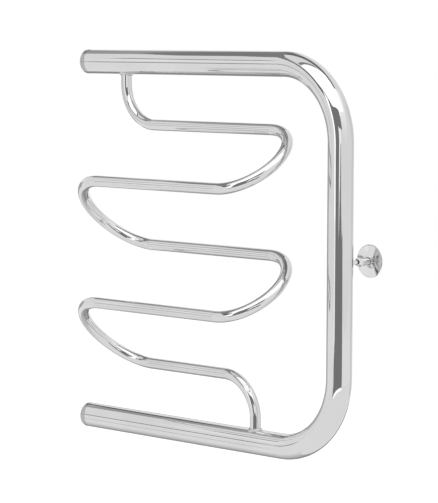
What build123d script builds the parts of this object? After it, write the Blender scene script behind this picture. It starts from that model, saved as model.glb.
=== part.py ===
# Water-heated towel rail: a C-shaped collector tube, a serpentine looped through it in space,
# threaded end bushings and a telescopic wall bracket. Millimetres, +Z up, +Y towards the wall.
# The origin is on the wall, on the axis of the bracket.
import os

from build123d import *

# Collector tube
outlet_spacing = 500.0  # between the axes of the two legs
rack_width = 500.0  # from the open ends of the legs to the outer side of the riser
collector_diameter = 33.7  # one-inch pipe
collector_wall = 2.0
collector_bend_radius = 100.0
wall_distance = 57.0  # from the wall to the riser's axis
riser_rise = 3.0  # of the riser's middle above the bracket's axis

# Serpentine tube
serpentine_diameter = 15.0
serpentine_wall = 1.5
bar_count = 5
end_bar_height = 164.5  # of the first bar above the riser's middle, and of the last bar below it
right_bend_drop = 73.5  # between the two bars of a right-hand bend
front_bar_reach = 100.0  # of every second bar, in front of the collector
right_bend_start = 125.0  # from the riser's axis
left_bend_setback = 134.0  # from the open ends of the legs
upper_foot_setback = 79.5  # from the open end of its leg
lower_foot_distance = 150.0  # from the riser's axis
stub_length = 11.65  # straight, between a leg and the quarter bend next to it
foot_clearance = 0.1  # round the serpentine in the collector's wall

# End bushings and welds
thread_minor_diameter = 24.12  # G 3/4 female thread, at its crests
bushing_collar = 10.0
bushing_spigot = 8.0
spigot_clearance = 0.1
bushing_edge_chamfer = 0.8
thread_lead_in = 1.2
seam_depth = 0.8  # of the groove between a leg and its bushing
branch_weld_leg = 2.6
pin_weld_leg = 1.6

# Wall bracket
pin_diameter = 5.4
pin_engagement = 13.0  # of the pin in the sleeve at rest
pin_chamfer = 0.5
sleeve_diameter = 10.0
sleeve_length = 25.0
sleeve_bore_depth = 19.0
sleeve_mouth_diameter = 8.0
sleeve_mouth_depth = 2.2
sleeve_nose_fillet = 0.6
wall_screw_minor_diameter = 5.0  # M6 female thread, at its crests
running_clearance = 0.05
grub_diameter = 3.0
grub_length = 3.0
grub_setback = 6.0  # from the sleeve's nose to the screw's axis
grub_tip_gap = 0.1  # between the screw's tip and the pin
grub_tip_chamfer = 0.5
hex_socket_width = 1.5
hex_socket_depth = 1.4

# Wall escutcheon
escutcheon_diameter = 43.5
escutcheon_rim = 1.2  # height of the straight edge at the wall
escutcheon_crown = 4.6  # height of the neck above the wall
escutcheon_wall = 0.9
neck_clearance = 0.3
hub_wall = 3.2  # radial, round the ring's groove
hub_wall_gap = 0.4  # between the hub and the wall
ring_section = 2.0
ring_room = 0.15  # round the ring in its groove

collector_radius = collector_diameter / 2
collector_bore_radius = collector_radius - collector_wall
serpentine_radius = serpentine_diameter / 2
foot_hole_radius = serpentine_radius + foot_clearance
upper_leg_z = riser_rise + outlet_spacing / 2
lower_leg_z = riser_rise - outlet_spacing / 2
rear_y = -wall_distance
front_y = rear_y - front_bar_reach
leg_length = rack_width - collector_radius
upper_foot_distance = leg_length - upper_foot_setback
left_bend_start = leg_length - left_bend_setback
quarter_bend_radius = outlet_spacing / 2 - collector_radius - stub_length - end_bar_height
tube_end_x = -(leg_length - bushing_collar)
rack_plane = Plane.XZ.offset(wall_distance)

os.makedirs("parts", exist_ok=True)


def keep(part, name):
    part.label = name
    export_step(part, f"parts/{name}.step")


# Collector: one tube bent twice, with a hole in each leg for the serpentine
with BuildPart() as collector_tube:
    with BuildLine(rack_plane) as collector_path:
        FilletPolyline(
            (tube_end_x, upper_leg_z),
            (0, upper_leg_z),
            (0, lower_leg_z),
            (tube_end_x, lower_leg_z),
            radius=collector_bend_radius,
        )
    with BuildSketch(Plane(collector_path.line @ 0, z_dir=collector_path.line % 0)):
        Circle(collector_radius)
        Circle(collector_bore_radius, mode=Mode.SUBTRACT)
    sweep(path=collector_path.line)
    end_rims = collector_tube.edges().filter_by(GeomType.CIRCLE).group_by(Axis.X)[0]
    chamfer(end_rims.group_by(SortBy.LENGTH)[-1], seam_depth)
    with BuildSketch(Plane.XY.offset(upper_leg_z)):
        with Locations((-upper_foot_distance, rear_y)):
            Circle(foot_hole_radius)
    extrude(amount=-collector_diameter, mode=Mode.SUBTRACT)
    with BuildSketch(Plane.XY.offset(lower_leg_z)):
        with Locations((-lower_foot_distance, rear_y)):
            Circle(foot_hole_radius)
    extrude(amount=collector_diameter, mode=Mode.SUBTRACT)
keep(collector_tube.part, "collector_tube")

# Serpentine: bars in two planes, joined by half-circle bends that slope from one plane to the other,
# with an elbow at each end that stands in a leg of the collector
right_bends = bar_count // 2
left_bends = bar_count - 1 - right_bends
left_bend_drop = (2 * end_bar_height - right_bends * right_bend_drop) / left_bends
bar_heights = [riser_rise + end_bar_height]
for bend in range(bar_count - 1):
    drop = left_bend_drop if bend % 2 else right_bend_drop
    bar_heights.append(bar_heights[-1] - drop)
foot_depth = (collector_bore_radius**2 - foot_hole_radius**2) ** 0.5  # from the leg's axis
first_bar_x = -upper_foot_distance + quarter_bend_radius
last_bar_x = -lower_foot_distance - quarter_bend_radius

upper_bend_end = (first_bar_x, rear_y, bar_heights[0])
lower_bend_start = (last_bar_x, rear_y, bar_heights[-1])


def thin_tube(path):
    with BuildPart() as tube:
        with BuildSketch(Plane(path.line @ 0, z_dir=path.line % 0)):
            Circle(serpentine_radius)
            Circle(serpentine_radius - serpentine_wall, mode=Mode.SUBTRACT)
        sweep(path=path.line)
    return tube.part


with BuildLine() as upper_elbow_path:
    upper_stub = Line(
        (-upper_foot_distance, rear_y, upper_leg_z - foot_depth),
        (-upper_foot_distance, rear_y, bar_heights[0] + quarter_bend_radius),
    )
    TangentArc(upper_stub @ 1, upper_bend_end, tangent=upper_stub % 1)
keep(thin_tube(upper_elbow_path), "upper_foot_elbow")

with BuildLine() as serpentine_path:
    bar_start = upper_bend_end
    for index, height in enumerate(bar_heights[:-1]):
        heads_right = index % 2 == 0
        turn_x = -right_bend_start if heads_right else -left_bend_start
        bar = Line(bar_start, (turn_x, rear_y if heads_right else front_y, height))
        bar_start = Vector(turn_x, front_y if heads_right else rear_y, bar_heights[index + 1])
        TangentArc(bar @ 1, bar_start, tangent=bar % 1)
    Line(bar_start, lower_bend_start)
keep(thin_tube(serpentine_path), "serpentine_tube")

with BuildLine() as lower_elbow_path:
    lower_bend_end = (-lower_foot_distance, rear_y, bar_heights[-1] - quarter_bend_radius)
    TangentArc(lower_bend_start, lower_bend_end, tangent=(1, 0, 0))
    Line(lower_bend_end, (-lower_foot_distance, rear_y, lower_leg_z + foot_depth))
keep(thin_tube(lower_elbow_path), "lower_foot_elbow")


# A fillet weld where a round branch stands on a round tube. The plane's Z follows the branch,
# its X the tube, and its origin is where the two axes cross.
def saddle_weld(plane, tube_radius, branch_radius, weld_leg):
    half_span = branch_radius + 3 * weld_leg
    branch_length = tube_radius + 3 * weld_leg
    across = Plane(plane.origin, x_dir=plane.y_dir, z_dir=plane.x_dir)
    with BuildPart() as weld:
        with BuildSketch(across):
            Circle(tube_radius)
        extrude(amount=half_span, both=True)
        with BuildSketch(plane):
            Circle(branch_radius)
        extrude(amount=branch_length)
        is_saddle = lambda edge: edge.geom_type not in (GeomType.CIRCLE, GeomType.LINE)
        chamfer(weld.edges().filter_by(is_saddle), weld_leg)
        with BuildSketch(across):
            Circle(tube_radius)
        extrude(amount=half_span, both=True, mode=Mode.SUBTRACT)
        with BuildSketch(plane):
            Circle(branch_radius)
        extrude(amount=branch_length, mode=Mode.SUBTRACT)
    return weld.part


upper_foot = Plane((-upper_foot_distance, rear_y, upper_leg_z), x_dir=(1, 0, 0), z_dir=(0, 0, -1))
lower_foot = Plane((-lower_foot_distance, rear_y, lower_leg_z), x_dir=(1, 0, 0), z_dir=(0, 0, 1))
pin_foot = Plane((0, rear_y, 0), x_dir=(0, 0, 1), z_dir=(0, 1, 0))
pin_radius = pin_diameter / 2
keep(saddle_weld(upper_foot, collector_radius, serpentine_radius, branch_weld_leg), "upper_branch_weld")
keep(saddle_weld(lower_foot, collector_radius, serpentine_radius, branch_weld_leg), "lower_branch_weld")
keep(saddle_weld(pin_foot, collector_radius, pin_radius, pin_weld_leg), "bracket_pin_weld")

# End bushings: a collar as wide as the tube, a spigot inside it and a female thread
thread_radius = thread_minor_diameter / 2
spigot_radius = collector_bore_radius - spigot_clearance
seam_root = collector_radius - seam_depth
collar_x = -leg_length
spigot_x = tube_end_x + bushing_spigot


def end_bushing(height):
    with BuildPart() as bushing:
        with BuildSketch(rack_plane):
            with BuildLine():
                Polyline(
                    (collar_x, height + thread_radius + thread_lead_in),
                    (collar_x, height + collector_radius - bushing_edge_chamfer),
                    (collar_x + bushing_edge_chamfer, height + collector_radius),
                    (tube_end_x - seam_depth, height + collector_radius),
                    (tube_end_x, height + seam_root),
                    (tube_end_x, height + spigot_radius),
                    (spigot_x, height + spigot_radius),
                    (spigot_x, height + thread_radius),
                    (collar_x + thread_lead_in, height + thread_radius),
                    close=True,
                )
            make_face()
        revolve(axis=Axis((0, rear_y, height), (1, 0, 0)))
    return bushing.part


# The ground seam weld fills the groove that the two chamfers leave
def seam_weld(height):
    with BuildPart() as seam:
        with BuildSketch(rack_plane):
            with BuildLine():
                Polyline(
                    (tube_end_x - seam_depth, height + collector_radius),
                    (tube_end_x + seam_depth, height + collector_radius),
                    (tube_end_x, height + seam_root),
                    close=True,
                )
            make_face()
        revolve(axis=Axis((0, rear_y, height), (1, 0, 0)))
    return seam.part


for end_name, height in (("upper", upper_leg_z), ("lower", lower_leg_z)):
    keep(end_bushing(height), f"{end_name}_end_bushing")
    keep(seam_weld(height), f"{end_name}_bushing_weld")

# Bracket pin: stands on the back of the riser and runs into the sleeve
sleeve_nose_y = -sleeve_length
pin_end_y = sleeve_nose_y + pin_engagement
with BuildPart() as bracket_pin:
    with BuildSketch(pin_foot):
        Circle(pin_radius)
    extrude(amount=pin_end_y - rear_y)
    chamfer(bracket_pin.faces().sort_by(Axis.Y)[-1].edges(), pin_chamfer)
    with BuildSketch(Plane.XY.offset(-pin_diameter)):
        with Locations((0, rear_y)):
            Circle(collector_radius)
    extrude(amount=2 * pin_diameter, mode=Mode.SUBTRACT)
keep(bracket_pin.part, "bracket_pin")

# Bracket sleeve: bored for the pin from the room, with a wider mouth, and tapped for the wall
# screw from the wall
sleeve_radius = sleeve_diameter / 2
grub_y = sleeve_nose_y + grub_setback
with BuildPart() as bracket_sleeve:
    with BuildSketch(Plane.XZ):
        Circle(sleeve_radius)
        Circle(wall_screw_minor_diameter / 2, mode=Mode.SUBTRACT)
    extrude(amount=sleeve_length)
    with BuildSketch(Plane.XZ.offset(sleeve_length)):
        Circle(pin_radius + running_clearance)
    extrude(amount=-sleeve_bore_depth, mode=Mode.SUBTRACT)
    with BuildSketch(Plane.XZ.offset(sleeve_length)):
        Circle(sleeve_mouth_diameter / 2)
    extrude(amount=-sleeve_mouth_depth, mode=Mode.SUBTRACT)
    nose_rim = bracket_sleeve.faces().sort_by(Axis.Y)[0].edges().sort_by(SortBy.LENGTH)[-1]
    fillet(nose_rim, sleeve_nose_fillet)
    with BuildSketch(Plane.XY):
        with Locations((0, grub_y)):
            Circle(grub_diameter / 2 + running_clearance)
    extrude(amount=-sleeve_diameter, mode=Mode.SUBTRACT)
keep(bracket_sleeve.part, "bracket_sleeve")

# Grub screw: under the sleeve, with its tip against the pin and a hexagon socket below
grub_tip_z = -(pin_radius + grub_tip_gap)
grub_end_z = grub_tip_z - grub_length
with BuildPart() as bracket_grub_screw:
    with BuildSketch(Plane.XY.offset(grub_end_z)):
        with Locations((0, grub_y)):
            Circle(grub_diameter / 2)
    extrude(amount=grub_length)
    chamfer(bracket_grub_screw.faces().sort_by(Axis.Z)[-1].edges(), grub_tip_chamfer)
    with BuildSketch(Plane.XY.offset(grub_end_z)):
        with Locations((0, grub_y)):
            RegularPolygon(hex_socket_width / 2, 6, major_radius=False)
    extrude(amount=hex_socket_depth, mode=Mode.SUBTRACT)
keep(bracket_grub_screw.part, "bracket_grub_screw")

# Escutcheon: a shallow spun cone, hollow towards the wall, with a grooved hub round the sleeve
escutcheon_radius = escutcheon_diameter / 2
neck_radius = sleeve_radius + neck_clearance
ring_radius = ring_section / 2
ring_centre_radius = sleeve_radius + running_clearance + ring_radius
groove_radius = ring_centre_radius + ring_radius + ring_room
groove_half_width = ring_radius + ring_room
hub_radius = neck_radius + hub_wall
cone_slope = (escutcheon_crown - escutcheon_rim) / (escutcheon_radius - neck_radius)
hub_inner_height = escutcheon_crown - escutcheon_wall - cone_slope * hub_wall
ring_height = (escutcheon_crown + hub_wall_gap) / 2
with BuildPart() as wall_escutcheon:
    with BuildSketch(Plane.XY):
        with BuildLine():
            Polyline(
                (escutcheon_radius, 0),
                (escutcheon_radius, -escutcheon_rim),
                (neck_radius, -escutcheon_crown),
                (neck_radius, -hub_wall_gap),
                (hub_radius, -hub_wall_gap),
                (hub_radius, -hub_inner_height),
                (escutcheon_radius - escutcheon_wall, escutcheon_wall - escutcheon_rim),
                (escutcheon_radius - escutcheon_wall, 0),
                close=True,
            )
        make_face()
        with Locations((neck_radius, -ring_height)):
            Rectangle(2 * (groove_radius - neck_radius), 2 * groove_half_width, mode=Mode.SUBTRACT)
    revolve(axis=Axis.Y)
keep(wall_escutcheon.part, "wall_escutcheon")

# Rubber ring: grips the sleeve from the groove in the hub
with BuildPart() as escutcheon_ring:
    with BuildSketch(Plane.XY):
        with Locations((ring_centre_radius, -ring_height)):
            Circle(ring_radius)
    revolve(axis=Axis.Y)
keep(escutcheon_ring.part, "escutcheon_ring")
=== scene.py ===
from math import atan2, cos, hypot, pi, radians, sin, sqrt

import bmesh
import bpy
from mathutils import Matrix, Vector


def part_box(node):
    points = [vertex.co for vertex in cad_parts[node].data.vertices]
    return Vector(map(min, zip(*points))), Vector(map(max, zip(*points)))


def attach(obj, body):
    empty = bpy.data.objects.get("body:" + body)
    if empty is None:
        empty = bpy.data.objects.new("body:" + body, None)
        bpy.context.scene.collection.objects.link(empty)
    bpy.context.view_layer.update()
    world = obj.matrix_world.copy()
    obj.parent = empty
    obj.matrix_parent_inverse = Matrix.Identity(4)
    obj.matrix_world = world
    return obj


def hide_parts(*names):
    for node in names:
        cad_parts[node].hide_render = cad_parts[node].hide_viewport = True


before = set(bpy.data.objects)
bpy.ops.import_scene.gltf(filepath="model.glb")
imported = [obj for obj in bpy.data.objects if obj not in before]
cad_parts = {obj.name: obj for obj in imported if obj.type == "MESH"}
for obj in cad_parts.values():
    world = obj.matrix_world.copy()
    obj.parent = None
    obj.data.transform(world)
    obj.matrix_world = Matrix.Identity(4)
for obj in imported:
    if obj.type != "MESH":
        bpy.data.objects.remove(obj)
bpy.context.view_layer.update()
print("frame loaded:", len(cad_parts), "nodes")

mm = 0.001
weldDistance = 0.001 * mm      # points closer than this are one point
smoothAngles = {"plain": 35, "thread": 20, "bead": 60}      # edges past these degrees stay sharp

# sizes that the tubes share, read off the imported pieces
collectorLow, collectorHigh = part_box("collector_tube")
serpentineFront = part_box("serpentine_tube")[0].y
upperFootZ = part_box("upper_foot_elbow")[1].z
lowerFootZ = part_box("lower_foot_elbow")[0].z
collectorRadius = (collectorHigh.y - collectorLow.y) / 2
rearY = (collectorHigh.y + collectorLow.y) / 2
riserX = collectorHigh.x - collectorRadius
upperLegZ = collectorHigh.z - collectorRadius
lowerLegZ = collectorLow.z + collectorRadius
tubeEndX = collectorLow.x
riserMiddle = Vector((riserX, rearY, (upperLegZ + lowerLegZ) / 2))


def newObject(name, bm, material, body, smoothAngle=smoothAngles["plain"]):
    mesh = bpy.data.meshes.new(name)
    bm.to_mesh(mesh)
    bm.free()
    for face in mesh.polygons:
        face.use_smooth = True
    mesh.set_sharp_from_angle(angle=radians(smoothAngle))
    mesh.materials.append(material)
    piece = bpy.data.objects.new(name, mesh)
    bpy.context.scene.collection.objects.link(piece)
    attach(piece, body)
    return piece


def aim(direction):
    return Vector(direction).normalized().to_track_quat("Z", "Y").to_matrix().to_4x4()


def vertsOf(geom):
    return [part for part in geom if isinstance(part, bmesh.types.BMVert)]


def rimOf(geom):
    return [part for part in geom if isinstance(part, bmesh.types.BMEdge) and part.is_boundary]


# Finishes: one noise tints and dulls the surface, and a finer one gives it a grain
noiseSpan = (0.3, 0.7)      # where most of a noise's values lie
plainFinish = {"metallic": 1.0, "smearDetail": 4.0, "grainDetail": 6.0, "stretch": (1, 1, 1)}


def startMaterial(name):
    material = bpy.data.materials.new(name)
    material.use_nodes = True
    return material, material.node_tree.nodes, material.node_tree.links


def addNoise(nodes, links, coords, scale, detail, stretch=(1, 1, 1)):
    mapping = nodes.new("ShaderNodeMapping")
    mapping.inputs["Scale"].default_value = stretch
    noise = nodes.new("ShaderNodeTexNoise")
    noise.inputs["Scale"].default_value = scale
    noise.inputs["Detail"].default_value = detail
    links.new(coords.outputs["Object"], mapping.inputs["Vector"])
    links.new(mapping.outputs["Vector"], noise.inputs["Vector"])
    return noise.outputs["Fac"]


def addRange(nodes, links, source, span, levels):
    spread = nodes.new("ShaderNodeMapRange")
    spread.inputs["From Min"].default_value = span[0]
    spread.inputs["From Max"].default_value = span[1]
    spread.inputs["To Min"].default_value = levels[0]
    spread.inputs["To Max"].default_value = levels[1]
    links.new(source, spread.inputs["Value"])
    return spread.outputs["Result"]


def addTint(nodes, links, source, colours):
    ramp = nodes.new("ShaderNodeValToRGB")
    for stop, place, colour in zip(ramp.color_ramp.elements, noiseSpan, colours):
        stop.position = place
        stop.color = (*colour, 1)
    links.new(source, ramp.inputs["Fac"])
    return ramp.outputs["Color"]


def makeFinish(name, look):
    material, nodes, links = startMaterial(name)
    shader = nodes["Principled BSDF"]
    coords = nodes.new("ShaderNodeTexCoord")
    smear = addNoise(nodes, links, coords, look["smearScale"], look["smearDetail"])
    grain = addNoise(nodes, links, coords, look["grainScale"], look["grainDetail"], look["stretch"])
    shader.inputs["Metallic"].default_value = look["metallic"]
    links.new(addTint(nodes, links, smear, look["tints"]), shader.inputs["Base Color"])
    links.new(addRange(nodes, links, smear, noiseSpan, look["roughness"]), shader.inputs["Roughness"])
    bump = nodes.new("ShaderNodeBump")
    bump.inputs["Strength"].default_value = look["bump"]
    bump.inputs["Distance"].default_value = look["bumpDepth"]
    links.new(grain, bump.inputs["Height"])
    links.new(bump.outputs["Normal"], shader.inputs["Normal"])
    return material


polishedSteel = makeFinish("polishedSteel", {
    **plainFinish, "tints": ((0.63, 0.63, 0.63), (0.67, 0.67, 0.67)), "roughness": (0.03, 0.06),
    "smearScale": 14.0, "grainScale": 55.0, "grainDetail": 2.0, "bump": 0.035, "bumpDepth": 0.4 * mm,
})
turnedSteel = makeFinish("turnedSteel", {
    **plainFinish, "tints": ((0.40, 0.40, 0.40), (0.48, 0.48, 0.48)), "roughness": (0.16, 0.26),
    "smearScale": 60.0, "grainScale": 900.0, "stretch": (4, 1, 1), "bump": 0.10, "bumpDepth": 0.1 * mm,
})
weldSteel = makeFinish("weldSteel", {
    **plainFinish, "tints": ((0.49, 0.488, 0.485), (0.65, 0.648, 0.645)), "roughness": (0.10, 0.22),
    "smearScale": 160.0, "grainScale": 700.0, "bump": 0.15, "bumpDepth": 0.2 * mm,
})
bracketChrome = makeFinish("bracketChrome", {
    **plainFinish, "tints": ((0.68, 0.68, 0.69), (0.73, 0.73, 0.74)), "roughness": (0.03, 0.06),
    "smearScale": 50.0, "grainScale": 160.0, "bump": 0.03, "bumpDepth": 0.2 * mm,
})
blackenedSteel = makeFinish("blackenedSteel", {
    **plainFinish, "tints": ((0.03, 0.03, 0.033), (0.07, 0.07, 0.075)), "roughness": (0.35, 0.55),
    "smearScale": 500.0, "grainScale": 2500.0, "bump": 0.2, "bumpDepth": 0.05 * mm,
})
ringRubber = makeFinish("ringRubber", {
    **plainFinish, "metallic": 0.0, "tints": ((0.016, 0.016, 0.017), (0.032, 0.032, 0.033)),
    "roughness": (0.55, 0.8), "smearScale": 700.0, "grainScale": 700.0, "grainDetail": 4.0,
    "bump": 0.2, "bumpDepth": 0.05 * mm,
})
print("materials made")


# Tubes: a ring of vertices is drawn along straight runs and round bends
class TubeRun:
    def __init__(self, start, direction, radius, sides):
        self.bm = bmesh.new()
        place = Matrix.Translation(start) @ aim(direction)
        ring = bmesh.ops.create_circle(self.bm, cap_ends=False, radius=radius, segments=sides, matrix=place)
        self.radius = radius
        self.start = Vector(start)
        self.tip = Vector(start)
        self.verts = ring["verts"]
        self.edges = list(self.bm.edges)

    def take(self, geom):
        self.verts = vertsOf(geom)
        self.edges = rimOf(geom)

    def straight(self, end):
        self.take(bmesh.ops.extrude_edge_only(self.bm, edges=self.edges)["geom"])
        bmesh.ops.translate(self.bm, verts=self.verts, vec=Vector(end) - self.tip)
        self.tip = Vector(end)

    def bend(self, centre, axis, angle, steps):
        turned = bmesh.ops.spin(
            self.bm, geom=self.verts + self.edges, cent=centre, axis=axis, angle=angle, steps=steps,
            use_merge=False, use_duplicate=False)
        self.take(turned["geom_last"])
        self.tip = Matrix.Rotation(angle, 3, axis) @ (self.tip - Vector(centre)) + Vector(centre)


def joinSkins(outer, inner):
    lips = bmesh.ops.extrude_edge_only(outer.bm, edges=rimOf(outer.bm.edges))["geom"]
    lipVerts = vertsOf(lips)
    shrink = inner.radius / outer.radius
    for centre in (outer.start, outer.tip):      # both end rings are drawn in to the bore
        ring = [vert for vert in lipVerts if (vert.co - centre).length < 2 * outer.radius]
        bmesh.ops.scale(outer.bm, verts=ring, vec=(shrink, shrink, shrink), space=Matrix.Translation(-centre))
    spare = bpy.data.meshes.new("spareSkin")
    inner.bm.to_mesh(spare)
    inner.bm.free()
    outer.bm.from_mesh(spare)
    bpy.data.meshes.remove(spare)
    seams = [vert for vert in outer.bm.verts if vert.is_boundary]
    bmesh.ops.remove_doubles(outer.bm, verts=seams, dist=weldDistance)
    bmesh.ops.recalc_face_normals(outer.bm, faces=outer.bm.faces)
    return outer.bm


collectorLook = {"wall": 2.0 * mm, "bendRadius": 100.0 * mm, "sides": 128, "bendSteps": 72}


def drawCollector(radius):
    look = collectorLook
    bendX = riserX - look["bendRadius"]
    upperBendZ = upperLegZ - look["bendRadius"]
    lowerBendZ = lowerLegZ + look["bendRadius"]
    skin = TubeRun((tubeEndX, rearY, upperLegZ), (1, 0, 0), radius, look["sides"])
    skin.straight((bendX, rearY, upperLegZ))
    skin.bend((bendX, rearY, upperBendZ), (0, 1, 0), pi / 2, look["bendSteps"])
    skin.straight((riserX, rearY, lowerBendZ))
    skin.bend((bendX, rearY, lowerBendZ), (0, 1, 0), pi / 2, look["bendSteps"])
    skin.straight((tubeEndX, rearY, lowerLegZ))
    return skin


outerSkin = drawCollector(collectorRadius)
innerSkin = drawCollector(collectorRadius - collectorLook["wall"])
collector = newObject(
    "collectorTube", joinSkins(outerSkin, innerSkin), polishedSteel, "rack")
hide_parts("collector_tube")
print("collector drawn:", len(collector.data.polygons), "faces")

serpentineLook = {
    "radius": 7.5 * mm, "wall": 1.5 * mm, "sides": 96, "uBendSteps": 96, "quarterSteps": 48, "bars": 5,
    "topBar": 164.5 * mm,      # above the riser's middle
    "rightDrop": 73.5 * mm, "leftDrop": 91.0 * mm, "quarterRadius": 57.0 * mm,
    "rightTurn": 125.0 * mm, "leftTurn": 349.15 * mm,      # turns and feet are from the riser's axis
    "upperFoot": 403.65 * mm, "lowerFoot": 150.0 * mm,
}
frontY = serpentineFront + serpentineLook["radius"]


def drawSerpentine(radius):
    look = serpentineLook
    quarter = look["quarterRadius"]
    upperX = riserX - look["upperFoot"]
    lowerX = riserX - look["lowerFoot"]
    z = riserMiddle.z + look["topBar"]
    skin = TubeRun((upperX, rearY, upperFootZ), (0, 0, -1), radius, look["sides"])
    skin.straight((upperX, rearY, z + quarter))
    skin.bend((upperX + quarter, rearY, z + quarter), (0, 1, 0), -pi / 2, look["quarterSteps"])
    for bar in range(look["bars"] - 1):
        headsRight = bar % 2 == 0
        turnX = riserX - (look["rightTurn"] if headsRight else look["leftTurn"])
        here = Vector((turnX, rearY if headsRight else frontY, z))
        z -= look["rightDrop"] if headsRight else look["leftDrop"]
        there = Vector((turnX, frontY if headsRight else rearY, z))
        skin.straight(here)
        heading = Vector((1 if headsRight else -1, 0, 0))
        skin.bend((here + there) / 2, heading.cross(there - here).normalized(), pi, look["uBendSteps"])
    skin.straight((lowerX - quarter, rearY, z))
    skin.bend((lowerX - quarter, rearY, z - quarter), (0, 1, 0), pi / 2, look["quarterSteps"])
    skin.straight((lowerX, rearY, lowerFootZ))
    return skin


outerSkin = drawSerpentine(serpentineLook["radius"])
innerSkin = drawSerpentine(serpentineLook["radius"] - serpentineLook["wall"])
serpentine = newObject(
    "serpentineTube", joinSkins(outerSkin, innerSkin), polishedSteel, "rack")
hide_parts("serpentine_tube", "upper_foot_elbow", "lower_foot_elbow")
print("serpentine drawn:", len(serpentine.data.polygons), "faces")

# Turned pieces: an outline of (radius, height) points is spun about its own axis
turningLook = {"sharpAngle": 25, "bevelSteps": 3}
ridgeLook = {"flank": 0.45, "flat": 0.06}      # half a thread's foot and crest, as shares of its pitch


def spinRound(bm, verts, edges, steps):
    bmesh.ops.spin(bm, geom=verts + edges, cent=(0, 0, 0), axis=(0, 0, 1), angle=2 * pi, steps=steps,
                   use_merge=True)
    bmesh.ops.remove_doubles(bm, verts=bm.verts, dist=weldDistance)


def turnOutline(outline, steps, place, bevelWidth=0.0):
    bm = bmesh.new()
    verts = [bm.verts.new((radius, 0, height)) for radius, height in outline]
    loop = verts if outline[0][0] == 0 else [verts[-1], *verts]      # an outline from pole to pole stays open
    spinRound(bm, verts, [bm.edges.new(pair) for pair in zip(loop, loop[1:])], steps)
    bmesh.ops.recalc_face_normals(bm, faces=bm.faces)
    if bevelWidth:
        sharp = [edge for edge in bm.edges if edge.calc_face_angle(0) > radians(turningLook["sharpAngle"])]
        bmesh.ops.bevel(bm, geom=sharp, offset=bevelWidth, affect="EDGES", segments=turningLook["bevelSteps"],
                        profile=0.5, material=-1, clamp_overlap=True)
        bmesh.ops.remove_doubles(bm, verts=bm.verts, dist=weldDistance)
    bm.transform(place)
    return bm


def turnThread(look, place):
    bm = bmesh.new()
    pitch = look["pitch"]
    foot = look["root"] + look["sink"]
    flank, flat = pitch * ridgeLook["flank"], pitch * ridgeLook["flat"]
    corners = ((foot, -flank), (look["crest"], -flat), (look["crest"], flat), (foot, flank))
    ridge = bm.faces.new([bm.verts.new((radius, 0, height)) for radius, height in corners])
    bmesh.ops.spin(bm, geom=[ridge], cent=(0, 0, 0), axis=(0, 0, 1), dvec=(0, 0, pitch / look["steps"]),
                   angle=2 * pi * look["turns"], steps=int(look["steps"] * look["turns"]), use_merge=False)
    bmesh.ops.remove_doubles(bm, verts=bm.verts, dist=weldDistance)
    bmesh.ops.recalc_face_normals(bm, faces=bm.faces)
    bm.transform(place @ Matrix.Translation((0, 0, look["start"])))
    return bm


# End bushings, their pipe threads and the seams that join them to the legs
bushingLook = {
    "collar": 10.0 * mm, "spigot": 8.0 * mm, "spigotRadius": 14.75 * mm, "edge": 0.8 * mm,
    "flare": 0.3 * mm, "flareDepth": 0.6 * mm, "bevel": 0.15 * mm, "steps": 128,
    "runOut": 1.6,      # in pitches
}
outletThreadLook = {
    "root": 13.2 * mm, "sink": 0.05 * mm, "crest": 12.06 * mm, "pitch": 1.814 * mm, "turns": 8.5, "steps": 64,
    "start": 1.2 * mm - bushingLook["collar"],
}
seamLook = {"reach": 0.8 * mm, "dip": 0.4 * mm, "flat": 0.2 * mm}


def makeBushing(side, legZ):
    look, thread = bushingLook, outletThreadLook
    place = Matrix.Translation((tubeEndX, rearY, legZ)) @ aim((1, 0, 0))      # heights run into the tube
    mouth, end, reach = -look["collar"], look["spigot"], seamLook["reach"]
    outline = [
        (thread["root"] + look["flare"], mouth), (collectorRadius - look["edge"], mouth),
        (collectorRadius, mouth + look["edge"]), (collectorRadius, -reach), (collectorRadius - reach, 0),
        (look["spigotRadius"], 0), (look["spigotRadius"], end), (thread["crest"], end),
        (thread["crest"], end - thread["pitch"]), (thread["root"], end - look["runOut"] * thread["pitch"]),
        (thread["root"], mouth + look["flareDepth"]),
    ]
    bushing = newObject(side + "EndBushing", turnOutline(outline, look["steps"], place, look["bevel"]),
                        turnedSteel, "rack")
    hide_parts(side + "_end_bushing")
    newObject(side + "OutletThread", turnThread(thread, place), turnedSteel, "rack",
              smoothAngles["thread"])
    groundRadius = collectorRadius - seamLook["dip"]
    section = [
        (collectorRadius, -reach), (groundRadius, -seamLook["flat"]), (groundRadius, seamLook["flat"]),
        (collectorRadius, reach), (collectorRadius - reach, 0),
    ]
    seam = newObject(side + "BushingWeld", turnOutline(section, look["steps"], place),
                     weldSteel, "rack")
    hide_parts(side + "_bushing_weld")


makeBushing("upper", upperLegZ)
makeBushing("lower", lowerLegZ)
print("bushings turned")

# Fillet welds: a rippled bead laid round a branch, on the saddle that the collector gives it
beadLook = {
    "branchLeg": 2.4 * mm, "pinLeg": 1.5 * mm, "sink": 0.5 * mm, "overlap": 0.05 * mm, "spans": 8,
    "steps": 240, "ripples": 34, "rippleDepth": 0.13, "rippleMiddle": 0.5,
    "rippleFade": 0.3, "bulge": 0.224,      # shares of the bead's leg
}


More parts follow.
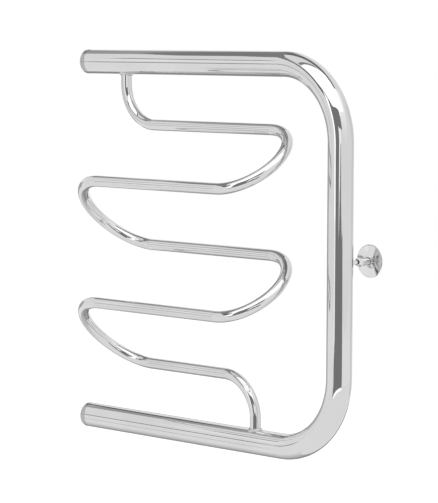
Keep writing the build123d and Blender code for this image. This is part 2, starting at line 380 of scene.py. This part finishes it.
def layBead(name, node, place, branchRadius, leg):
    look = beadLook
    bm = bmesh.new()
    points = [(branchRadius - look["sink"], -look["sink"])]
    for i in range(look["spans"] + 1):
        t = i / look["spans"]
        swell = look["bulge"] * leg * sin(pi * t)
        points.append((branchRadius - look["overlap"] + leg * t + swell, leg * (1 - t) + swell))
    points.append((branchRadius + leg, -look["sink"]))
    section = [bm.verts.new((radius, 0, height)) for radius, height in points]
    edges = [bm.edges.new((section[i - 1], section[i])) for i in range(len(section))]
    spinRound(bm, section, edges, look["steps"])
    for vert in bm.verts:      # ripples first, then the drop of the saddle
        turn = atan2(vert.co.y, vert.co.x)
        radial = hypot(vert.co.x, vert.co.y)
        height = vert.co.z
        out = max(0.0, radial - branchRadius)
        wave = abs(sin(look["ripples"] * turn / 2)) - look["rippleMiddle"]
        ripple = 1 + look["rippleDepth"] * wave * min(1.0, out / (look["rippleFade"] * leg))
        if out:
            radial = branchRadius + out * ripple
        if height > 0:
            height *= ripple
        across = radial * sin(turn)
        vert.co = (radial * cos(turn), across, height + sqrt(collectorRadius**2 - across**2))
    bmesh.ops.recalc_face_normals(bm, faces=bm.faces)
    bm.transform(place)
    bead = newObject(name, bm, weldSteel, "rack", smoothAngles["bead"])
    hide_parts(node)


def standing(foot, up, along):
    up, along = Vector(up), Vector(along)
    turn = Matrix((along, up.cross(along), up)).transposed().to_4x4()
    return Matrix.Translation(foot) @ turn


upperFoot = (riserX - serpentineLook["upperFoot"], rearY, upperLegZ)
lowerFoot = (riserX - serpentineLook["lowerFoot"], rearY, lowerLegZ)
pinLow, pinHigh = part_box("bracket_pin")
pinRadius = (pinHigh.x - pinLow.x) / 2
layBead("upperBranchWeld", "upper_branch_weld", standing(upperFoot, (0, 0, -1), (1, 0, 0)),
        serpentineLook["radius"], beadLook["branchLeg"])
layBead("lowerBranchWeld", "lower_branch_weld", standing(lowerFoot, (0, 0, 1), (1, 0, 0)),
        serpentineLook["radius"], beadLook["branchLeg"])
layBead("bracketPinWeld", "bracket_pin_weld", standing((riserX, rearY, 0), (0, 1, 0), (0, 0, 1)),
        pinRadius, beadLook["pinLeg"])
print("welds laid")

# Wall bracket: pin, sleeve with its wall thread, grub screw, escutcheon and its rubber ring
wallPlace = aim((0, -1, 0))      # heights run from the wall into the room
bracketSteps = 96
pinLook = {"chamfer": 0.5 * mm, "bevel": 0.1 * mm}


def makePin():
    tip, foot = -pinHigh.y, -pinLow.y
    chamfer = pinLook["chamfer"]
    outline = [(0, tip), (pinRadius - chamfer, tip), (pinRadius, tip + chamfer), (pinRadius, foot), (0, foot)]
    pin = newObject("bracketPin", turnOutline(outline, bracketSteps, wallPlace, pinLook["bevel"]),
                    bracketChrome, "rack")
    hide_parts("bracket_pin")


sleeveLook = {
    "radius": 5.0 * mm, "length": 25.0 * mm, "boreDepth": 19.0 * mm, "clearance": 0.05 * mm,
    "mouthRadius": 4.0 * mm, "mouthDepth": 2.2 * mm, "nose": 0.6 * mm, "noseSteps": 6,
    "plainLip": 0.8 * mm, "runOut": 1.2 * mm,      # of the wall thread, back from the pin's bore
    "bevel": 0.08 * mm,
}
wallThreadLook = {
    "root": 3.0 * mm, "sink": 0.03 * mm, "crest": 2.5 * mm, "pitch": 1.0 * mm, "turns": 5.0, "steps": 48,
    "start": 0.5 * mm,
}


def makeSleeve():
    look, thread = sleeveLook, wallThreadLook
    radius, nose, length = look["radius"], look["nose"], look["length"]
    bore = pinRadius + look["clearance"]
    boreEnd = length - look["boreDepth"]
    mouthEnd = length - look["mouthDepth"]
    rounding = []
    for i in range(look["noseSteps"] + 1):
        angle = pi / 2 * i / look["noseSteps"]
        rounding.append((radius - nose + nose * cos(angle), length - nose + nose * sin(angle)))
    outline = [
        (thread["root"], 0), (radius, 0), *rounding, (look["mouthRadius"], length),
        (look["mouthRadius"], mouthEnd), (bore, mouthEnd), (bore, boreEnd), (thread["crest"], boreEnd),
        (thread["crest"], boreEnd - look["plainLip"]), (thread["root"], boreEnd - look["runOut"]),
    ]
    sleeve = newObject("bracketSleeve", turnOutline(outline, bracketSteps, wallPlace, look["bevel"]),
                       bracketChrome, "bracket")
    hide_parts("bracket_sleeve")
    newObject("wallScrewThread", turnThread(thread, wallPlace), bracketChrome, "bracket",
              smoothAngles["thread"])


grubLook = {
    "core": 1.22 * mm, "point": 0.4 * mm, "cone": 0.45 * mm, "sides": 48,
    "hexWidth": 1.5 * mm, "hexDepth": 1.4 * mm, "hexSides": 6,
}
grubThreadLook = {
    "root": grubLook["core"], "sink": -0.03 * mm, "crest": 1.5 * mm, "pitch": 0.5 * mm, "turns": 4.4,
    "steps": 32, "start": 0.55 * mm,
}


def raiseRim(bm, edges, height, grow=1.0):
    grown = bmesh.ops.extrude_edge_only(bm, edges=edges)["geom"]
    rim = vertsOf(grown)
    bmesh.ops.translate(bm, verts=rim, vec=(0, 0, height))
    bmesh.ops.scale(bm, verts=rim, vec=(grow, grow, 1))
    return rimOf(grown)


def makeGrubScrew():
    look = grubLook
    low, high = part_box("bracket_grub_screw")
    length = high.z - low.z
    middleY = (low.y + high.y) / 2
    place = Matrix.Translation((0, middleY, high.z)) @ aim((0, 0, -1))      # heights run out of the sleeve
    tipRadius = look["core"] - look["point"]
    bm = bmesh.new()
    bmesh.ops.create_circle(bm, cap_ends=True, radius=tipRadius, segments=look["sides"])
    shoulder = raiseRim(bm, list(bm.edges), look["cone"], look["core"] / tipRadius)
    head = raiseRim(bm, shoulder, length - look["cone"])
    before = set(bm.edges)
    bmesh.ops.create_circle(bm, cap_ends=False, radius=look["hexWidth"] / sqrt(3), segments=look["hexSides"],
                            matrix=Matrix.Translation((0, 0, length)))
    hexagon = [edge for edge in bm.edges if edge not in before]
    bmesh.ops.bridge_loops(bm, edges=head + hexagon)
    bmesh.ops.contextual_create(bm, geom=raiseRim(bm, hexagon, -look["hexDepth"]))
    bmesh.ops.recalc_face_normals(bm, faces=bm.faces)
    bm.transform(place)
    screw = newObject("bracketGrubScrew", bm, blackenedSteel, "grub_screw")
    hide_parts("bracket_grub_screw")
    newObject("grubScrewThread", turnThread(grubThreadLook, place), blackenedSteel, "grub_screw",
              smoothAngles["thread"])


escutcheonLook = {
    "rim": 1.2 * mm, "rimStep": 0.4 * mm, "crown": 4.6 * mm, "wall": 0.9 * mm, "wallLean": 0.18 * mm,
    "neckClearance": 0.3 * mm, "hubWall": 3.2 * mm, "hubGap": 0.4 * mm, "ringRoom": 0.15 * mm,
    "slopeSpans": 10, "slopeBow": 0.25 * mm, "bevel": 0.12 * mm, "steps": 160,
}
ringLook = {"radius": 1.0 * mm, "sides": 24}
ringMiddle = sleeveLook["radius"] + sleeveLook["clearance"] + ringLook["radius"]
ringHeight = (escutcheonLook["crown"] + escutcheonLook["hubGap"]) / 2


def makeEscutcheon():
    look = escutcheonLook
    low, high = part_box("wall_escutcheon")
    radius = (high.x - low.x) / 2
    inside = radius - look["wall"]
    neck = sleeveLook["radius"] + look["neckClearance"]
    hub = neck + look["hubWall"]
    fall = look["crown"] - look["rim"]
    slope = []
    for i in range(look["slopeSpans"] + 1):
        t = i / look["slopeSpans"]
        slope.append((radius + (neck - radius) * t, look["rim"] + fall * t + look["slopeBow"] * sin(pi * t)))
    lining = [(r - look["wallLean"], h - look["wall"]) for r, h in reversed(slope) if hub < r < inside]
    room = ringLook["radius"] + look["ringRoom"]
    groove = ringMiddle + room
    outline = [
        (radius, 0), *slope, (neck, ringHeight + room), (groove, ringHeight + room),
        (groove, ringHeight - room), (neck, ringHeight - room), (neck, look["hubGap"]), (hub, look["hubGap"]),
        (hub, lining[0][1]), *lining, (inside, look["rim"] - look["rimStep"]), (inside, 0),
    ]
    disc = newObject("wallEscutcheon", turnOutline(outline, look["steps"], wallPlace, look["bevel"]),
                     bracketChrome, "escutcheon")
    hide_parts("wall_escutcheon")


def makeRing():
    radius, sides = ringLook["radius"], ringLook["sides"]
    section = []
    for i in range(sides):
        angle = 2 * pi * i / sides
        section.append((ringMiddle + radius * cos(angle), ringHeight + radius * sin(angle)))
    ring = newObject("escutcheonRing", turnOutline(section, escutcheonLook["steps"], wallPlace),
                     ringRubber, "escutcheon")
    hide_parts("escutcheon_ring")


makePin()
makeSleeve()
makeGrubScrew()
makeEscutcheon()
makeRing()
print("bracket made")

# Studio: a pale floor far below, a white world, soft lamps, and cards that only the polished metal sees
studioLook = {
    "floorZ": -0.95, "floorSize": 14.0, "floorColour": (0.86, 0.86, 0.86, 1), "floorRoughness": 0.9,
    "floorGlow": 0.55, "white": 1.0, "fill": 0.55,      # white is what is seen, fill is what lights the floor
}


def seenRays(nodes, links):      # 1 for what the camera or the metal sees, 0 for light that only fills
    path = nodes.new("ShaderNodeLightPath")
    seen = nodes.new("ShaderNodeMath")
    seen.operation = "MAXIMUM"
    links.new(path.outputs["Is Camera Ray"], seen.inputs[0])
    links.new(path.outputs["Is Glossy Ray"], seen.inputs[1])
    return seen.outputs["Value"]


def makeWorld():
    world = bpy.data.worlds.new("whiteStudio")
    bpy.context.scene.world = world
    world.use_nodes = True
    nodes, links = world.node_tree.nodes, world.node_tree.links
    glow = nodes["Background"]
    glow.inputs["Color"].default_value = (1, 1, 1, 1)
    levels = (studioLook["fill"], studioLook["white"])
    links.new(addRange(nodes, links, seenRays(nodes, links), (0, 1), levels), glow.inputs["Strength"])


def stageObject(name, bm, material, isCard=False):
    mesh = bpy.data.meshes.new(name)
    bm.to_mesh(mesh)
    bm.free()
    mesh.materials.append(material)
    item = bpy.data.objects.new(name, mesh)
    bpy.context.scene.collection.objects.link(item)
    if isCard:      # a card shows in reflections only
        item.visible_camera = False
        item.visible_diffuse = False
        item.visible_shadow = False


def makeFloor():
    look = studioLook
    bm = bmesh.new()
    bmesh.ops.create_grid(bm, x_segments=1, y_segments=1, size=look["floorSize"] / 2,
                          matrix=Matrix.Translation((0, 0, look["floorZ"])))
    material, nodes, links = startMaterial("paleFloor")
    shader = nodes["Principled BSDF"]
    shader.inputs["Base Color"].default_value = look["floorColour"]
    shader.inputs["Roughness"].default_value = look["floorRoughness"]
    shader.inputs["Emission Color"].default_value = (1, 1, 1, 1)
    glow = addRange(nodes, links, seenRays(nodes, links), (0, 1), (0, look["floorGlow"]))
    links.new(glow, shader.inputs["Emission Strength"])
    stageObject("paleFloor", bm, material)


def outward(azimuth, elevation):
    az, el = radians(azimuth), radians(elevation)
    return Vector((sin(az) * cos(el), -cos(az) * cos(el), sin(el)))


# upright cards stand round the riser: the glow at foot and head, and rows from foot to head of a height
# with the azimuths of the card's left and right side; two rows at one height are a step
cardSpans = 8
uprightCards = {
    "darkCard": {
        "distance": 2.2, "levels": (0.25, 0.25),
        "rows": ((-0.78, -9, 66), (-0.42, -9, 66), (-0.36, -1, 66), (-0.13, -1, 62), (-0.13, -1, 27),
                 (0.1, -5, 27), (0.63, -5, 27), (0.63, -5, 57), (1.1, -3, 57), (1.25, 18, 57), (1.6, 46, 57)),
    },
    "bandEdge": {
        "distance": 2.19, "levels": (0.25, 0.25), "rows": ((-0.13, 30, 54), (-0.05, 35, 47), (0.1, 39, 42)),
    },
    "paleStrip": {"distance": 2.2, "levels": (1.3, 1.3), "rows": ((-0.03, 29, 44), (0.6, 29, 44))},
    "footStrip": {"distance": 2.2, "levels": (1.6, 1.6), "rows": ((-0.91, 2, 66), (-0.79, 2, 66))},
    "leftStripLow": {"distance": 2.2, "levels": (1.25, 1.25), "rows": ((-0.4, -11, -1), (-0.1, -11, -1))},
    "leftStrip": {
        "distance": 2.2, "levels": (1.7, 1.7), "rows": ((-0.1, -11, -1), (0.1, -16, -5), (1.1, -13, -3)),
    },
    "leftRearCard": {
        "distance": 2.2, "levels": (0.14, 0.14), "rows": ((-0.3, -122, -116), (1.55, -111, -103)),
    },
    "rearCard": {"distance": 2.3, "levels": (0.5, 0.5), "rows": ((-0.6, -136, -84), (0.25, -136, -84))},
    "horizonRail": {
        "distance": 6.0, "levels": (0.22, 0.22), "rows": ((-0.08, -51.5, -44.3), (0.28, -51.5, -44.3)),
    },
    "upperRail": {"distance": 2.2, "levels": (0.15, 0.15), "rows": ((0.93, -59, -49), (1.05, -59, -49))},
    "leftPanel": {"distance": 2.3, "levels": (1.1, 1.1), "rows": ((0.45, -56, -46), (0.9, -57, -48))},
    "rightPanel": {"distance": 2.2, "levels": (1.0, 1.25), "rows": ((0.1, 62, 100), (1.6, 62, 120))},
    "rightRearCard": {"distance": 2.2, "levels": (0.85, 0.85), "rows": ((-0.9, 150, 185), (1.2, 150, 185))},
}
# level cards lie above or below: the glow at their lowest and highest Y, and their corners
levelCards = {
    "overheadPanel": {
        "height": 1.6, "levels": (1.75, 1.75),
        "corners": ((-1.0, -3), (2.4, -3), (2.4, 0.3), (0.2, 0.3), (-0.9, -1.35)),
    },
    "overheadFade": {
        "height": 1.6, "levels": (1.5, 1.0), "corners": ((0.75, 0.3), (2.4, 0.3), (2.4, 1.4), (0.75, 1.4)),
    },
    "overheadFrontEdge": {
        "height": 1.6, "levels": (0.15, 0.15),
        "corners": ((-2.2, -5), (2.6, -5), (2.6, -3), (-1.0, -3), (-1.3, -2.0), (-1.6, -2.0)),
    },
    "overheadSeam": {
        "height": 1.59, "levels": (0.3, 0.3),
        "corners": ((-1.0, -1.4), (-0.86, -1.4), (0.0, 0.05), (-0.16, 0.05)),
    },
    "overheadCard": {
        "height": 1.6, "levels": (0.28, 0.28),
        "corners": ((-1.8, -0.6), (-1.15, -0.6), (-1.15, 1.3), (-1.8, 1.3)),
    },
    "overheadRearBar": {
        "height": 1.6, "levels": (0.2, 0.2),
        "corners": ((-1.15, -0.05), (-0.4, 0.15), (0.75, 0.3), (0.75, 0.6), (-1.15, 0.75)),
    },
    "overheadFrontBar": {
        "height": 1.6, "levels": (0.3, 0.3),
        "corners": ((-1.6, -2.0), (-1.2, -2.0), (-1.2, -0.6), (-1.6, -0.6)),
    },
    "overheadLeftCard": {
        "height": 1.6, "levels": (0.45, 0.45),
        "corners": ((-2.6, -0.3), (-1.8, -0.3), (-1.8, 1.2), (-2.6, 1.2)),
    },
    "lowerCard": {
        "height": -0.9, "levels": (1.03, 0.40),
        "corners": ((-1.3, -0.35), (-0.3, -0.35), (-0.3, 0.35), (-1.3, 0.35)),
    },
    "lowerRearCard": {
        "height": -0.9, "levels": (0.40, 0.15),
        "corners": ((-2.3, 0.35), (-0.3, 0.35), (-0.3, 2.4), (-3.9, 2.4)),
    },
    "lowerRail": {
        "height": -0.9, "levels": (0.3, 0.3),
        "corners": ((-1.8, -1.12), (-1.25, -1.12), (-1.25, -1.03), (-1.8, -1.03)),
    },
    "lowerPlain": {
        "height": -0.92, "levels": (1.03, 1.03), "corners": ((-4.5, -4), (3, -4), (3, 4), (-4.5, 4)),
    },
}


def hangCard(name, bm, axis, span, levels):
    material, nodes, links = startMaterial(name)
    coords = nodes.new("ShaderNodeTexCoord")
    parts = nodes.new("ShaderNodeSeparateXYZ")
    links.new(coords.outputs["Object"], parts.inputs["Vector"])
    glow = nodes.new("ShaderNodeEmission")
    glow.inputs["Color"].default_value = (1, 1, 1, 1)
    links.new(addRange(nodes, links, parts.outputs[axis], span, levels), glow.inputs["Strength"])
    links.new(glow.outputs["Emission"], nodes["Material Output"].inputs["Surface"])
    stageObject(name, bm, material, isCard=True)


def makeUprightCard(name, look):
    bm = bmesh.new()
    rows = []
    for height, left, right in look["rows"]:
        angles = [left + (right - left) * i / cardSpans for i in range(cardSpans + 1)]
        spots = [outward(angle, 0) * look["distance"] for angle in angles]
        rows.append([bm.verts.new((riserX + spot.x, rearY + spot.y, height)) for spot in spots])
    for lower, upper in zip(rows, rows[1:]):
        if upper[0].co.z > lower[0].co.z:
            for i in range(cardSpans):
                bm.faces.new((lower[i], lower[i + 1], upper[i + 1], upper[i]))
    hangCard(name, bm, "Z", (look["rows"][0][0], look["rows"][-1][0]), look["levels"])


def makeLevelCard(name, look):
    bm = bmesh.new()
    bm.faces.new([bm.verts.new((x, y, look["height"])) for x, y in look["corners"]])
    depths = [y for x, y in look["corners"]]
    hangCard(name, bm, "Y", (min(depths), max(depths)), look["levels"])


lampLook = {
    "keySoftbox": {"azimuth": 12, "elevation": 42, "distance": 2.6, "size": (1.5, 1.2), "radiance": 1.6},
    "fillSoftbox": {"azimuth": -40, "elevation": 35, "distance": 2.8, "size": (1.6, 1.6), "radiance": 1.0},
}


def makeLamp(name, look):
    lamp = bpy.data.lights.new(name, "AREA")
    width, height = look["size"]
    lamp.shape = "RECTANGLE"
    lamp.size, lamp.size_y = width, height
    lamp.energy = look["radiance"] * pi * width * height
    holder = bpy.data.objects.new(name, lamp)
    holder.visible_glossy = False      # the metal mirrors the cards instead
    direction = outward(look["azimuth"], look["elevation"])
    holder.matrix_world = Matrix.Translation(riserMiddle + direction * look["distance"]) @ aim(direction)
    bpy.context.scene.collection.objects.link(holder)


makeWorld()
makeFloor()
for cardName, cardLook in uprightCards.items():
    makeUprightCard(cardName, cardLook)
for cardName, cardLook in levelCards.items():
    makeLevelCard(cardName, cardLook)
for lampName, softboxLook in lampLook.items():
    makeLamp(lampName, softboxLook)
print("studio set")

# Camera: at the photograph's angle, with the middle of the riser on its own pixel
cameraLook = {
    "azimuth": 45.5, "elevation": 4.894, "roll": 0.205, "distance": 3.1456, "focalPixels": 2468.5,
    "imageSize": (438, 503), "riserPixel": (340.10, 261.40), "sensor": 36.0,
}


def makeCamera():
    look = cameraLook
    backward = outward(look["azimuth"], look["elevation"])
    right = Vector((0, 0, 1)).cross(backward).normalized()
    up = backward.cross(right)
    turn = Matrix.Rotation(radians(look["roll"]), 3, backward)
    right, up = turn @ right, turn @ up
    width, height = look["imageSize"]
    scale = look["distance"] / look["focalPixels"]
    shiftRight = (look["riserPixel"][0] - width / 2) * scale
    shiftDown = (look["riserPixel"][1] - height / 2) * scale
    spot = riserMiddle + backward * look["distance"] - right * shiftRight + up * shiftDown
    camera = bpy.data.cameras.new("photoCamera")
    camera.sensor_width = look["sensor"]
    camera.lens = look["sensor"] * look["focalPixels"] / max(look["imageSize"])
    holder = bpy.data.objects.new("photoCamera", camera)
    holder.matrix_world = Matrix.Translation(spot) @ Matrix((right, up, backward)).transposed().to_4x4()
    bpy.context.scene.collection.objects.link(holder)
    bpy.context.scene.camera = holder


makeCamera()
bpy.context.scene.view_settings.view_transform = "Standard"
print("camera set")
